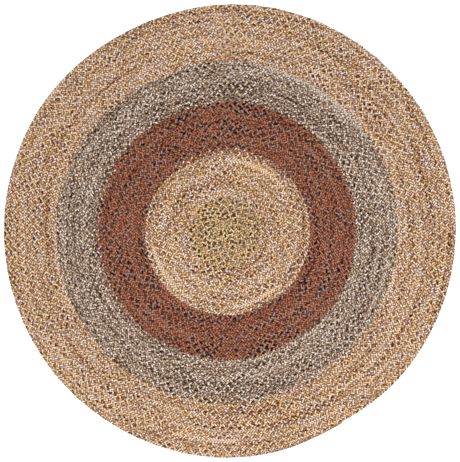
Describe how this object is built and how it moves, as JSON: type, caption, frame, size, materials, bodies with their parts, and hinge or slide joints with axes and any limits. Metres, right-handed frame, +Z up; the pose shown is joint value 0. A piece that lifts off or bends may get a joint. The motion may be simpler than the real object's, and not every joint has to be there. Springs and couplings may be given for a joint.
{
  "type": "braided rug",
  "caption": "Round flat rug of three-strand braid wound in one coil, in concentric bands of tan, rust and grey around a golden heart.",
  "frame": {"origin": "middle of the rug's outline, on the surface it lies on", "axes": "+Z up through the rug; X and Y lie in the floor, with +Y towards the top of the picture"},
  "size_m": [1.8228, 1.83, 0.0095],
  "materials": {
    "heart_yarn": "matt wool-like yarn, gold, dark slate and brown strands",
    "inner_yarn": "matt wool-like yarn, cream, gold and brown strands",
    "rust_yarn": "matt wool-like yarn, rust red, near-black and mauve-grey strands",
    "grey_yarn": "matt wool-like yarn, dark taupe, greige and cream strands",
    "border_yarn": "matt wool-like yarn, gold, brown and lilac-white strands"
  },
  "bodies": {
    "root": {"heart_braid": "heart_yarn", "inner_braid": "inner_yarn", "rust_braid": "rust_yarn", "grey_braid": "grey_yarn", "border_braid": "border_yarn"}
  },
  "joints": []
}
